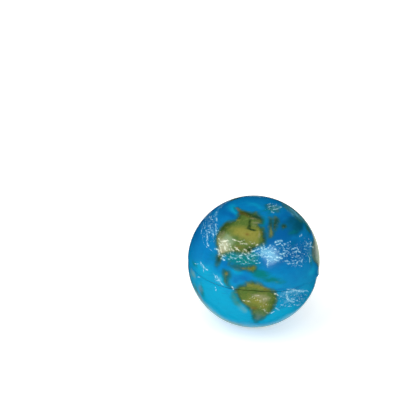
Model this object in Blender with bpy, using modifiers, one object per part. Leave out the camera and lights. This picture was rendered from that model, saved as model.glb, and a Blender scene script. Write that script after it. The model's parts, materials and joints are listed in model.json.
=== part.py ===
"""Foam stress ball with a printed two-piece skin.

A moulded ball of soft foam sits inside two thin hemispheres of printed film. The films meet at the
equator, where their rims are turned in and fused into a weld ring that bites into the foam. The ball
rests on a small flat patch at its lower pole. Metres, +Z up, origin at the centre of the resting patch.
"""

import math

import bmesh
import bpy
from mathutils import Vector

# --- driving dimensions, metres -------------------------------------------------------------------
BALL_DIAMETER = 0.0635       # over the film, 2.5 in
FILM_THICKNESS = 0.0006      # printed film with its clear coat
SOLID_GAP = 0.0003           # clearance kept between neighbouring solids
REST_PATCH_RADIUS = 0.0040   # where the soft ball flattens under its own weight
WELD_HEIGHT = 0.0004         # thickness of the fused rim, pole to pole
WELD_DEPTH = 0.0022          # how far the fused rim reaches in from the ball's surface
WELD_INSET = 0.0003          # how far the weld's outer edge sits below the ball's surface
LIP_DEPTH = 0.0015           # how far each film's turned-in rim reaches inwards
EDGE_ROUND = 0.0003          # rounding where a film turns in at the seam

# --- mesh density ----------------------------------------------------------------------------------
SEGMENTS = 60                # round the polar axis
RINGS = 15                   # pole to equator
EDGE_STEPS = 3               # along each rounding at the seam
MERGE_DISTANCE = 0.00001     # joins the screw's last turn to its first, and the points at the poles

# --- worked out ------------------------------------------------------------------------------------
RADIUS = BALL_DIAMETER / 2
PATCH_RISE = RADIUS - math.sqrt(RADIUS ** 2 - REST_PATCH_RADIUS ** 2)
CENTRE_Z = RADIUS - PATCH_RISE           # height of the ball's centre above the resting patch
INNER_RADIUS = RADIUS - FILM_THICKNESS   # inside of the films
CORE_RADIUS = INNER_RADIUS - SOLID_GAP   # outside of the foam
SEAM_HALF = WELD_HEIGHT / 2 + SOLID_GAP  # from the equator to each turned-in rim
LIP_TOP = SEAM_HALF + FILM_THICKNESS     # from the equator to the hidden side of each rim
LIP_RADIUS = RADIUS - LIP_DEPTH          # where each turned-in rim ends
EDGE_LATITUDE = math.asin((SEAM_HALF + EDGE_ROUND) / RADIUS)   # where a film starts to turn in
LIP_LATITUDE = math.asin(LIP_TOP / INNER_RADIUS)               # where its inside meets the rim
NORTH_POLE = math.pi / 2


def clear_scene():
    for obj in list(bpy.data.objects):
        bpy.data.objects.remove(obj, do_unlink=True)
    for data in (bpy.data.meshes, bpy.data.materials, bpy.data.collections):
        for item in list(data):
            data.remove(item)


def material(name, colour, roughness, coat=0.0):
    mat = bpy.data.materials.new(name)
    mat.use_nodes = True
    shader = mat.node_tree.nodes["Principled BSDF"]
    shader.inputs["Base Color"].default_value = (*colour, 1.0)
    shader.inputs["Roughness"].default_value = roughness
    shader.inputs["Coat Weight"].default_value = coat
    mat.diffuse_color = (*colour, 1.0)
    return mat


def arc(radius, start, end, steps):
    """Points (r, z) on a circle round the ball's centre, by latitude in radians."""
    angles = [start + (end - start) * i / steps for i in range(steps + 1)]
    return [(radius * math.cos(a), CENTRE_Z + radius * math.sin(a)) for a in angles]


def on_axis(point):
    """The point on the polar axis level with the given one."""
    return [(0.0, point[1])]


def rounded_edge(side):
    """From the ball's surface round into the seam. side is +1 above the equator and -1 below it."""
    corner_r = math.sqrt(RADIUS ** 2 - (SEAM_HALF + EDGE_ROUND) ** 2)
    points = []
    for i in range(EDGE_STEPS + 1):
        a = math.pi / 2 * i / EDGE_STEPS
        r = corner_r - EDGE_ROUND * (1 - math.cos(a))
        z = SEAM_HALF + EDGE_ROUND * (1 - math.sin(a))
        points.append((r, CENTRE_Z + side * z))
    return points


def turned(name, profile, collection, mat):
    """One closed body of revolution round the polar axis, made with a Screw modifier.

    A profile that starts on the axis also ends there; any other is closed into a ring.
    """
    mesh = bpy.data.meshes.new(name)
    bm = bmesh.new()
    verts = [bm.verts.new(Vector((r, 0.0, z))) for r, z in profile]
    for a, b in zip(verts, verts[1:]):
        bm.edges.new((a, b))
    if profile[0][0] > 0:
        bm.edges.new((verts[-1], verts[0]))
    bm.to_mesh(mesh)
    bm.free()
    obj = bpy.data.objects.new(name, mesh)
    collection.objects.link(obj)
    obj.data.materials.append(mat)
    screw = obj.modifiers.new("Turn", "SCREW")
    screw.axis = "Z"
    screw.angle = 2 * math.pi
    screw.steps = SEGMENTS
    screw.render_steps = SEGMENTS
    screw.use_merge_vertices = True
    screw.merge_threshold = MERGE_DISTANCE
    screw.use_smooth_shade = True
    return obj


def foam_profile():
    """Pole to pole down the outer side, with the ring groove that holds the turned-in rims."""
    groove_half = LIP_TOP + SOLID_GAP
    groove_r = RADIUS - WELD_DEPTH - SOLID_GAP
    groove_lat = math.asin(groove_half / CORE_RADIUS)
    floor_lat = -math.acos((REST_PATCH_RADIUS - SOLID_GAP) / CORE_RADIUS)
    top = arc(CORE_RADIUS, NORTH_POLE, groove_lat, RINGS)
    groove = [(groove_r, CENTRE_Z + groove_half), (groove_r, CENTRE_Z - groove_half)]
    bottom = arc(CORE_RADIUS, -groove_lat, floor_lat, RINGS)
    return on_axis(top[0]) + top[1:] + groove + bottom + on_axis(bottom[-1])


def north_profile():
    """Outer pole, down the outside, round the turned-in rim, and back up the inside to the pole."""
    outside = arc(RADIUS, NORTH_POLE, EDGE_LATITUDE, RINGS)
    lip = [(LIP_RADIUS, CENTRE_Z + SEAM_HALF), (LIP_RADIUS, CENTRE_Z + LIP_TOP)]
    inside = arc(INNER_RADIUS, LIP_LATITUDE, NORTH_POLE, RINGS)
    return on_axis(outside[0]) + outside[1:-1] + rounded_edge(1) + lip + inside[:-1] + on_axis(inside[-1])


def south_profile():
    """Inner floor, up the inside to the turned-in rim, and down the outside to the resting patch."""
    floor_lat = math.acos((REST_PATCH_RADIUS - SOLID_GAP) / INNER_RADIUS)
    patch_lat = math.acos(REST_PATCH_RADIUS / RADIUS)
    inside = arc(INNER_RADIUS, -floor_lat, -LIP_LATITUDE, RINGS)
    lip = [(LIP_RADIUS, CENTRE_Z - LIP_TOP), (LIP_RADIUS, CENTRE_Z - SEAM_HALF)]
    outside = arc(RADIUS, -EDGE_LATITUDE, -patch_lat, RINGS)
    patch = [(REST_PATCH_RADIUS, 0.0), (0.0, 0.0)]
    return on_axis(inside[0]) + inside + lip + rounded_edge(-1)[::-1] + outside[1:-1] + patch


def weld_profile():
    """A flat ring with a rounded outer edge, closed on itself."""
    outer = RADIUS - WELD_INSET
    inner = RADIUS - WELD_DEPTH
    half = WELD_HEIGHT / 2
    steps = 2 * EDGE_STEPS
    edge = []
    for i in range(steps + 1):
        a = math.pi / 2 - math.pi * i / steps
        edge.append((outer - half + half * math.cos(a), CENTRE_Z + half * math.sin(a)))
    return edge + [(inner, CENTRE_Z - half), (inner, CENTRE_Z + half)]


def main():
    clear_scene()
    ball = bpy.data.collections.new("Globe stress ball")
    bpy.context.scene.collection.children.link(ball)
    foam = material("Foam", (0.86, 0.80, 0.62), 0.95)
    film_north = material("Printed film, north", (0.02, 0.30, 0.62), 0.25, 0.6)
    film_south = material("Printed film, south", (0.01, 0.40, 0.66), 0.25, 0.6)
    weld = material("Fused film", (0.02, 0.07, 0.12), 0.5)
    turned("foam_core", foam_profile(), ball, foam)
    turned("north_skin", north_profile(), ball, film_north)
    turned("south_skin", south_profile(), ball, film_south)
    turned("seam_weld", weld_profile(), ball, weld)


main()
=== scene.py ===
"""Looks for the globe stress ball: two glossy printed films, the fused seam between them and the foam.

The print is painted by latitude and longitude. Outlines, tints and cloud strokes are listed in degrees,
turned into soft fields on the films' points, and coloured by one procedural material. A few tint spots
are not print but painted shade, a painted highlight and painted rim glow.
"""
import json
import math

import bpy
import numpy as np
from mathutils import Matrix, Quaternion, Vector, noise

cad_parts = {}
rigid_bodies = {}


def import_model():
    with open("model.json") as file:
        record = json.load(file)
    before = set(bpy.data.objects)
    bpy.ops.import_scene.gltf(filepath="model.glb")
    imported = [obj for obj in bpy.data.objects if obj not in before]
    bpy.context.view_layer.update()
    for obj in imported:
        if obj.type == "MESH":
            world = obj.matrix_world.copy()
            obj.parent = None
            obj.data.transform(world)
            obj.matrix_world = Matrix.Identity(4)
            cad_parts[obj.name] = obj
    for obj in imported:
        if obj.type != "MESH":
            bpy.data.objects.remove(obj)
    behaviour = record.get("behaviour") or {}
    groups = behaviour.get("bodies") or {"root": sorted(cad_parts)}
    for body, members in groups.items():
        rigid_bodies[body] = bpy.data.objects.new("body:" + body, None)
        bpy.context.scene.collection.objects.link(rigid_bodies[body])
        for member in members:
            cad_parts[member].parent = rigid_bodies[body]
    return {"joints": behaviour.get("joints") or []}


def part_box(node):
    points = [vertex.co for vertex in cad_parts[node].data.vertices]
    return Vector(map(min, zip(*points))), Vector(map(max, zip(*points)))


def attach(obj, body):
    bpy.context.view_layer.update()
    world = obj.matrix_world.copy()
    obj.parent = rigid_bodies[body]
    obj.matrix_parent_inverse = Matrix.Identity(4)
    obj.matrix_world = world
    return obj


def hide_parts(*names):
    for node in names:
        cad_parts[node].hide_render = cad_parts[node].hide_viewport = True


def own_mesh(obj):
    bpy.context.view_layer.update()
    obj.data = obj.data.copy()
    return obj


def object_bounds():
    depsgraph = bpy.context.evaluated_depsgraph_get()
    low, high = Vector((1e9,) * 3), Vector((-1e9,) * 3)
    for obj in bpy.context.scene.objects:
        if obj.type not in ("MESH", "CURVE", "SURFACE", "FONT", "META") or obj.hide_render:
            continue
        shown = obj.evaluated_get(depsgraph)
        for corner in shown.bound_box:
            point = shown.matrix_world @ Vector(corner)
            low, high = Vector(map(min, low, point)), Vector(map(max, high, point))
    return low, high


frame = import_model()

# --- sizes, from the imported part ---
MM = 0.001
CAD_LOW, CAD_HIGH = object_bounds()
RADIUS = (CAD_HIGH.x - CAD_LOW.x) / 2
CENTRE = Vector((0.0, 0.0, CAD_HIGH.z - RADIUS))
PATCH_RADIUS = math.sqrt(RADIUS ** 2 - CENTRE.z ** 2)
FOAM_LOW, FOAM_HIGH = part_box("foam_core")
FOAM_RADIUS = (FOAM_HIGH.x - FOAM_LOW.x) / 2
SQUEEZE = next(j for j in frame["joints"] if j["name"] == "squeeze")

# --- the seam, as it looks ---
SLOT_HALF = 0.15 * MM        # half the width of the line between the films
LIP_ROUND = 0.18 * MM        # rounding where a film turns in
LIP_DEPTH = 1.3 * MM         # how far the turned-in rim reaches
LIP_MIDDLE = 0.6             # share of that depth at the rim's second row of points
SOUTH_DIP = 0.20 * MM        # the lower film is drawn in a little under the upper one
SOUTH_DIP_EAST = 0.45 * MM   # and more so towards the map's east
NORTH_DIP_EAST = 0.20 * MM   # the upper film is drawn in there too,
LIP_FLARE = 0.42 * MM        # but its edge stands out
DIP_SPREAD = 9.0             # degrees of latitude over which the films are drawn in
FLARE_SPREAD = 2.2           # and over which the edge stands out
# where the seam strays off the equator, as (longitude, spread, degrees of latitude)
SEAM_DRIFTS = [(-68, 16, 1.6), (24, 22, -5)]
DRIFT_SPREAD = 24.0          # degrees of latitude over which the films follow it
WELD_HALF = 0.12 * MM        # half the fused ring's thickness
WELD_REACH = 1.4 * MM        # how far in from the ball's surface it reaches
WELD_SINK = 0.04 * MM        # its edge below the lower film where the seam is well fused,
WELD_OPEN = 0.45 * MM        # and how much deeper it lies where the seam stands open
# where the seam stands open, as (longitude, spread)
SEAM_OPEN = [(-62, 15), (-152, 14), (48, 24), (112, 20), (168, 16)]
LUMP_HEIGHT = 0.04 * MM      # the ring's edge is lumpy, as melted film is
LUMPS = 97                   # round the whole ring,
LUMP_SWAY = 2                # set this unevenly, in radians,
LUMP_SWAYS = 13              # this many times round
FILM = 0.6 * MM              # thickness of a printed film
GROOVE_HALF = 1.5 * MM       # half the height of the foam's groove for the turned-in rims
GROOVE_DEPTH = 1.6 * MM

# --- mesh density ---
AROUND = 512                 # points in every row
UP = 128                     # rows from the seam to a pole on a film,
UP_INSIDE = 24               # on its hidden side,
UP_FOAM = 40                 # and on the foam
RIM_STEPS = 8                # rows round a film's turned-in edge
WELD_STEPS = 9               # rows round the fused ring's edge
PATCH_RINGS = 6

# --- the print ---
FRONT_LONGITUDE = -70.0      # the longitude that faces -Y
SOUTH_PRINT_TURN = 0.7       # the two films are never printed quite in line, degrees
WANDER_SEED = 3              # picks the irregularity of the outlines
WANDER_SCALE = 57.3          # noise with this scale has features about a degree across
COAST_WANDERS = [(9, 1.6), (3, 0.7)]   # size and amount in degrees of the coasts' irregularity,
TINT_WANDER = (7, 1.5)       # the tints'
STROKE_WANDER = (2.5, 0.5)   # and the strokes'
FAR_OFF = 14.0               # fields are cut off this many degrees from a coast
OFF_STROKE = -3.0            # the stroke field's value away from every stroke
BRUSH = 0.9                  # thins or thickens every cloud stroke
WHOLE_BALL = 179.0           # a cap this many degrees wide takes in every point
TINY = 1e-9                  # keeps divisions clear of zero

# Closed coasts, as (longitude, latitude).
LANDS = {
    "north_america": [
        (-136, 69.6), (-122, 70), (-105, 71.2), (-88, 72.6), (-77, 73.4), (-69, 71.4), (-63, 68.6),
        (-60, 64.6), (-61, 61.8), (-66, 60.4), (-60, 57), (-57.6, 53), (-57, 48.5), (-56, 44.6),
        (-61, 42.4), (-67, 40.4), (-71, 37.2), (-76, 33.6), (-84, 32.4), (-92, 31.4), (-98, 29.4),
        (-102, 27), (-106, 27.4), (-109, 30), (-113, 33.4), (-117, 38), (-120, 43.5), (-121.5, 48.5),
        (-119.5, 53), (-113, 57.2), (-108.5, 60.4), (-108, 63.6), (-113, 65.6), (-122, 67.6),
        (-130, 68.8),
    ],
    "mexico": [(-107.4, 25.5), (-103, 26), (-102, 21), (-103.4, 16.6), (-106, 19.5)],
    "antilles": [
        (-92, 21.8), (-84, 21.6), (-77, 21.8), (-71, 23), (-67.5, 20.8), (-70, 18.6), (-77, 19.4),
        (-84, 19.2),
    ],
    "isthmus": [
        (-95.4, 14.6), (-91.6, 15), (-90.4, 11.4), (-90.6, 6), (-86, 1.6), (-92, 4.2), (-94.2, 9.5),
    ],
    "south_america": [
        (-82.6, 0.6), (-80, 4.2), (-75, 6.4), (-70, 9), (-66, 8.2), (-62, 6.6), (-56, 3.8), (-50, 0.2),
        (-46.6, -4), (-46.4, -10), (-48, -16), (-49.4, -21.5), (-53.5, -25.5), (-56, -31), (-60, -38),
        (-63.5, -32), (-65.8, -25), (-67.6, -19), (-73, -13.4), (-78, -8.5), (-81, -3),
    ],
    "baffin": [(-51.5, 47.6), (-51.6, 53), (-48, 60), (-42, 66), (-39, 64), (-44, 57.5), (-46.6, 51)],
    "denmark_strait": [
        (-43, 54.5), (-41, 59), (-37, 63.5), (-28, 66.6), (-26, 64.6), (-32, 61.4), (-38, 57),
    ],
    "iceland": [(-28.5, 56.2), (-25, 57.6), (-20.5, 57.2), (-20, 55.4), (-25, 54.6)],
    "greenland": [(-20, 76), (-24, 79.5), (0, 82.5), (12, 78), (4, 73.5), (-6, 70.5), (-13, 73)],
    "scandinavia": [
        (24, 58.5), (26, 62.5), (32, 66.5), (40, 67.5), (44, 65), (38, 63), (33, 60.5), (28, 57.5),
    ],
    "britain": [(16, 49.5), (14, 53), (17, 56), (20, 53.5), (20.5, 50)],
    "europe": [
        (15, 38.5), (16, 42), (24, 44.5), (28, 50.5), (34, 53), (40, 57), (50, 62), (54, 48), (44, 42.5),
        (38, 39), (35, 42), (31, 40), (27, 43), (22, 41), (19, 37.6),
    ],
    "asia": [
        (40, 60), (46, 63.5), (62, 65.5), (82, 66.5), (104, 67), (128, 66), (150, 66.5), (168, 65),
        (174, 62.5), (160, 60), (158, 54), (146, 56.5), (139, 50.5), (132, 42), (122, 38.5), (121, 31),
        (112, 22.5), (106, 19), (104, 8.5), (100, 12), (97, 18), (90, 23), (83, 17), (79, 8.5), (75, 18),
        (68, 25), (58, 26.5), (50, 32), (42, 38), (46, 46), (44, 56),
    ],
    "arabia": [(36, 32), (46, 31.5), (55, 26), (60, 22), (52, 15.5), (44, 13), (40, 21)],
    "africa": [
        (1, 26.5), (8, 28.5), (18, 29.5), (32, 31), (37, 22), (43, 13), (51, 11.5), (45, 2), (40, -8),
        (38, -18), (33, -27), (25, -34.5), (19, -33), (16, -22), (17, -9), (15, 1.5), (12, 6), (7, 9),
        (3, 13.5), (-1, 18), (-2, 22.5),
    ],
    "madagascar": [(47, -13), (51, -17), (48, -25), (44.5, -22)],
    "japan": [(131, 32), (138, 36), (144, 43.5), (141, 44), (136, 38.5), (130, 34.5)],
    "sumatra": [(96, 5), (106, -4.5), (116, -8), (107, -8.2), (99, -1)],
    "borneo": [(110, 1), (117, 6), (118, 0), (113, -3.5)],
    "new_guinea": [(132, -1.5), (142, -3), (150, -9), (141, -8.5), (134, -4.5)],
    "australia": [
        (124, -16.5), (132, -12), (138, -16.5), (144, -12.5), (149, -21), (154, -28), (149, -37.5),
        (140, -37.5), (132, -32), (118, -34.5), (115, -24),
    ],
    "new_zealand": [(174, -36), (178, -39), (171, -45.5), (168, -45)],
    "antarctica": [
        (-60, -74), (-20, -71), (20, -69), (60, -68), (100, -66), (150, -68), (180, -75), (-120, -74),
    ],
}

# Soft spots of tint, as (longitude, latitude, half width, half height, strength), in degrees.
TINTS = {
    "ochre": [
        (-87, 50.5, 15, 6.5, 0.85), (-81, 49.5, 5, 2.8, 0.8), (-79, 55, 7, 3, 0.4),
        (-104, 60.6, 4, 1.6, 0.6), (-72, 46, 5, 5, 0.5), (-68, 53, 1.8, 6, 0.6), (-62, -8, 13, 14, 0.4),
        (-70, 6.8, 6, 2.2, 0.6), (-60, 4.6, 8, 1.6, 0.6), (-66, -9, 7, 4, 0.5), (-60, -12, 7, 5, 0.4),
        (-48.4, 52.6, 2.2, 6, 0.6), (-93, 13, 2, 2.4, 0.6), (-8, 74, 18, 6, 0.6), (14, 22, 12, 8, 0.5),
        (28, 24, 12, 8, 0.8), (47, 23, 10, 7, 1), (18, -22, 8, 8, 0.7), (130, -24, 12, 8, 1),
        (144, -28, 7, 9, 0.6), (75, 42, 16, 5, 0.8), (100, 43, 14, 5, 0.8), (135, 52, 14, 4, 0.6),
        (35, 67, 8, 2, 0.8), (75, 22, 8, 6, 0.4), (40, -76, 16, 7, 0.3), (110, -74, 16, 7, 0.3),
    ],
    "pale": [
        (-106, 37, 7.5, 3.5, 0.7), (-103, 32.5, 6, 4.5, 0.8), (-105, 29, 4, 3, 0.6),
        (-71, 61.8, 4, 1, 0.5), (-80, 66, 4, 1.4, 0.4), (-75, 59, 3, 1.4, 0.4), (-57, -7, 6, 5, 0.5),
        (-65.6, 51, 1.2, 5, 0.5), (-113, 43, 4, 4, 0.5), (-62, -3, 10, 4, 0.35), (-65, -3.4, 4, 1.4, 0.5),
        (-73, -9.4, 4, 1.4, 0.4), (-6, 79, 24, 5, 0.4), (9, 22, 12, 9, 0.65), (128, -22, 7, 4, 0.35),
        (0, -90, 24, 24, 1),
    ],
    "rust": [
        (-134, 69.6, 5, 1.2, 1), (-98, 68, 20, 2.8, 0.5), (-82, 49.4, 3.6, 2, 0.7),
        (-63, 53, 1.6, 4.5, 0.6), (-88, 37.6, 7, 2.2, 0.5), (-80, 20.2, 3, 0.9, 0.6),
        (-72, 21, 2.2, 1.2, 0.55), (-92.8, 13.2, 1.3, 1.3, 0.9), (-57, 3, 4, 1.2, 0.6),
        (-64, -16, 4, 4, 0.7), (-60, -29, 5, 7, 0.6), (-56, -12, 3, 5, 0.4), (-5, 68, 6, 2, 0.4),
        (105, 12, 4, 5, 0.8), (101, -2, 5, 4, 0.8), (114, 2, 4, 3, 0.8), (142, -6, 6, 2, 0.7),
        (150, 54, 8, 3, 0.8), (132, 45, 5, 4, 0.6), (30, 58, 5, 4, 0.5), (122, -28, 6, 5, 0.5),
        (146, -34, 5, 3, 0.5), (32, -8, 6, 6, 0.4),
    ],
    "forest": [
        (-83.4, 61.5, 1.6, 3, 0.9), (-81.6, 57, 1.8, 2.2, 1), (-77, 54.6, 5, 1.2, 1),
        (-116, 47, 5, 10, 0.7), (-90, 69.6, 26, 3.2, 0.8), (-108, 62.5, 6, 3, 0.5), (-74, 67, 5, 3, 0.5),
        (-58.6, 49, 2.4, 7, 0.9), (-105, 22, 3, 6, 1), (-112, 54, 5, 4, 0.4), (-86, 20.6, 6, 1.6, 0.6),
        (-74, 37.4, 6, 3.6, 0.9), (-92, 34, 10, 1.8, 0.4), (-91.6, 8, 2.4, 4.5, 1), (-89, 3.5, 3, 3, 1),
        (-76, -3, 4, 6, 0.3), (-62, 1.4, 12, 1, 0.5), (-50, -17, 3, 4, 0.4), (-36, 63, 11, 3.4, 1),
        (-43, 58, 2.6, 4, 0.7), (-24, 56.2, 9, 4, 1), (110, 64, 42, 9, 0.9), (60, 56, 14, 9, 0.8),
        (118, 34, 10, 8, 0.6), (15, 4, 14, 7, 0.9), (35, 12, 9, 8, 0.7), (102, 18, 6, 7, 0.7),
        (134, -15, 9, 4, 0.5),
    ],
    # land printed weakly; the two spots at (26, 50) and (46, 62) clear the land so that the painted rim
    # glow on the upper right edge shows
    "faint": [
        (-46, 57, 5, 9, 0.15), (-9, 76.5, 12, 8, 1), (4, 76, 9, 6, 0.9), (8, 20, 12, 12, 0.5),
        (-92, 9, 5, 4, 0.4), (-89, 3.5, 4, 3, 0.7), (-104, 18, 4, 4, 0.5), (-86, 20.5, 8, 3, 0.3),
        (26, 50, 16, 18, 1), (46, 62, 22, 8, 0.9), (-5, 22, 5, 12, 0.4), (110, 68, 40, 7, 0.9),
        (-60, -31, 6, 8, 0.55), (-61, -38, 5, 4, 0.7),
    ],
    "teal": [
        (-62, 16, 8, 3.6, 0.8), (-53, 11.5, 9, 2.6, 0.8), (-45, 8.6, 7, 2, 0.5), (-67, 19, 6, 2.6, 0.7),
        (-88, 29.5, 14, 4, 1), (-76, 31.5, 9, 4, 1), (-76, 25.5, 14, 3, 0.7), (-92, 24, 9, 2.2, 0.4),
        (-84, -6, 3.5, 7, 0.7), (-80, -13, 4, 5, 0.7), (-64.8, -27, 2.5, 9, 0.7), (-70, -18, 3, 4, 0.5),
        (-52, -26, 4, 5, 0.4), (-112, 22, 5, 6, 0.4), (-14, 48, 9, 3, 0.5), (30, 46, 10, 16, 0.6),
        (-7, 20, 4, 9, 0.6), (-63, 64, 4, 4, 0.7), (-59, 56, 2, 6, 0.5), (-38, 62, 7, 3, 0.4),
        (-136, 67.6, 7, 1.6, 0.5), (-33, 77.5, 14, 2, 0.5), (110, 70, 40, 3, 0.7), (-12, 74, 14, 4, 0.6),
        (-118, -15, 4, 11, 0.6), (-130, -20, 4, 9, 0.7), (-122, -33, 7, 5, 0.5), (-132, 6, 9, 3, 0.6),
        (-94, 9, 5, 7, 0.5), (60, 15, 9, 6, 0.5), (118, 12, 9, 8, 0.6), (128, -10, 14, 4, 0.6),
        (40, -20, 6, 8, 0.5), (158, -30, 5, 9, 0.7), (148, 44, 8, 6, 0.4), (20, 40, 14, 4, 0.5),
        (180, 20, 20, 8, 0.3), (100, -20, 16, 8, 0.3),
    ],
    "dust": [
        (-121, -13, 5, 5, 0.6), (-126, -25, 5, 7, 0.8), (-137, -3, 4, 4, 0.5), (-116, -38, 7, 4, 0.5),
        (-94, -47, 12, 5, 0.5), (-80, -52, 10, 4, 0.5), (6, -30, 5, 8, 0.4), (170, -24, 6, 6, 0.4),
    ],
    "dusk": [
        (6, 50, 15, 6, 1), (-2, 57, 18, 5, 0.6), (-14, 47, 8, 3, 0.4), (-24, 39, 16, 5, 0.3),
        (-98, 27, 10, 4, 0.4), (150, 40, 14, 6, 0.5), (60, -20, 14, 6, 0.4),
    ],
    # milky green-grey over the sea; the spots at (30, 50) and (44, 60) are painted rim glow along the upper
    # right edge, and the three wide spots at latitudes -54 to -56 are a painted glow along the lower edge,
    # standing for the table's reflection; the rest is print
    "milk_and_rim_glow": [
        (-133, -4, 6, 4, 0.7), (-131, -15, 5, 6, 0.4), (-141, -12, 4, 7, 0.6), (-123, -32, 6, 6, 0.6),
        (-112, -41, 9, 5, 0.6), (-96, -50, 12, 5, 0.6), (30, 50, 8, 14, 0.4), (44, 60, 16, 6, 0.5),
        (-2, 24, 3, 9, 0.4), (-85, -4, 2.6, 5, 0.3), (-83, -10, 3, 5, 0.3), (-79, -14.5, 3.6, 4, 0.35),
        (-76, -18, 3.6, 4, 0.4), (-73.5, -21, 3, 3.4, 0.45), (-70, -54, 30, 7, 0.45),
        (-10, -56, 30, 7, 0.45), (-130, -56, 30, 7, 0.45), (-48, 9, 4, 1.6, 0.3),
    ],
    # pale cyan over the sea; the four spots round (-53, 32) are a painted highlight under the key softbox's
    # reflection, and the two at (32, 46) and (46, 60) are painted rim glow along the ball's upper right
    # edge as the camera sees it; the rest is print haze
    "haze_and_painted_highlight": [
        (-53, 32, 5, 6, 0.6), (-57, 36, 4, 3, 0.5), (-47, 30, 4, 3, 0.4), (-63, 35, 3, 4, 0.5),
        (32, 46, 8, 14, 0.8), (46, 60, 12, 6, 0.7), (-6, 23, 2.4, 8, 0.4), (-150, 51, 8, 3, 0.3),
        (-142, 40, 8, 4, 0.2), (-128, 41, 5, 3, 0.3), (-41, 43.5, 5, 2, 0.5), (-33, -2, 7, 2.4, 0.6),
        (-22, -5.5, 8, 2.4, 0.5), (-34, -11, 6, 3, 0.5), (-42, -4, 5, 2, 0.4), (-120, 10, 6, 2.4, 0.4),
        (-99, 5, 3, 3, 0.6), (0, 74, 8, 4, 0.5), (118, 73, 10, 4, 0.6), (-176, 54, 12, 4, 0.4),
        (92, 64, 10, 5, 0.5), (126, 20, 7, 5, 0.5), (152, 0, 8, 5, 0.5), (112, -38, 9, 4, 0.5),
        (-168, 40, 5, 6, 0.4), (60, -8, 10, 5, 0.4), (160, 38, 8, 5, 0.4),
    ],
    # dark blue over the sea; the two spots along the seam at (-46, 2.2) and (-26, 1) are painted shade
    # where the upper film's edge curls in; the rest is print
    "deep_and_seam_shade": [
        (-121, 61.5, 10, 3, 0.7), (-140, 58, 14, 4, 0.2), (-138, 44, 18, 9, 0.35),
        (-77, 12.5, 9, 3.5, 0.5), (-97, 19, 6, 3.5, 0.4), (-35, 50, 14, 7, 0.9), (-55, 52, 4, 10, 1),
        (-44, 44, 10, 3, 0.5), (-12, 62, 20, 8, 0.6), (-30, 59, 8, 2, 0.5), (-26, 32, 22, 11, 0.7),
        (-52, 27, 12, 6, 0.5), (-148, 26, 14, 9, 0.5), (-20, -12, 14, 5, 0.4), (-46, 2.2, 8, 1.8, 0.5),
        (-26, 1, 14, 2, 0.45), (-84, 7.5, 4, 2.6, 0.5), (-103, 22, 14, 3, 0.4), (170, 38, 28, 14, 0.8),
        (165, 8, 20, 8, 0.5), (75, -10, 18, 12, 0.6), (40, 50, 10, 5, 0.5), (-170, 60, 20, 8, 0.5),
        (155, -45, 24, 9, 0.6), (-165, -10, 18, 12, 0.4), (10, -14, 8, 12, 0.4),
    ],
    "bright": [
        (-105, -12, 22, 14, 1), (-90, -30, 24, 16, 1), (-40, -28, 18, 12, 0.9), (-140, 66, 18, 5, 0.6),
        (-7, 8, 9, 6, 0.6), (-118, 7, 14, 7, 0.8), (-100, 84, 12, 4, 0.5), (-84, 15.5, 6, 3, 0.6),
        (-97, 5, 7, 5, 0.8), (-55, 15, 12, 3, 0.4), (175, -10, 18, 10, 0.7), (-150, -30, 22, 14, 0.8),
        (90, -32, 24, 10, 0.7), (70, 8, 10, 5, 0.5), (0, -40, 26, 9, 0.6), (150, 24, 14, 7, 0.5),
    ],
    "cloud_field": [
        (-143, 42, 18, 8, 0.9), (-128, 37, 9, 7, 0.7), (-96, 29, 13, 5.5, 0.5), (-78, 30, 13, 6, 0.6),
        (-68, 35, 8, 5, 0.9), (-42, 38, 8, 6, 0.7), (-31, 30, 13, 9, 0.65), (-22, 24, 9, 6, 0.8),
        (-4, 33, 11, 7, 0.6), (-6, 22, 5, 5, 0.5), (-32, -4, 9, 6, 1), (-26, -12, 11, 7, 0.8),
        (-40, -16, 6, 4, 0.5), (-14, -17, 9, 6, 0.6), (-44, -5, 6, 4, 0.5), (-101, 5, 5, 4, 0.5),
        (-118, 9.5, 6, 3, 0.5), (6, 76, 9, 5, 0.9), (-14, 79, 6, 3, 0.6), (-60, -6, 9, 5, 0.5),
        (-56, -15, 6, 5, 0.5), (-70, -8, 6, 3, 0.4), (66, 50, 10, 6, 0.7), (90, 62, 20, 8, 0.9),
        (118, 72, 14, 4, 0.8), (150, 61, 18, 4, 0.7), (-178, 56, 12, 4, 0.6), (128, 24, 10, 7, 0.8),
        (160, 40, 12, 6, 0.7), (152, 0, 11, 6, 0.9), (118, -20, 12, 9, 0.7), (60, -8, 12, 8, 0.6),
        (14, -44, 22, 5, 0.7), (80, -42, 20, 5, 0.7), (-170, 28, 12, 6, 0.6), (-178, -46, 22, 6, 0.6),
        (-110, -52, 26, 5, 0.5), (22, 12, 9, 4, 0.5),
    ],
}

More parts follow.
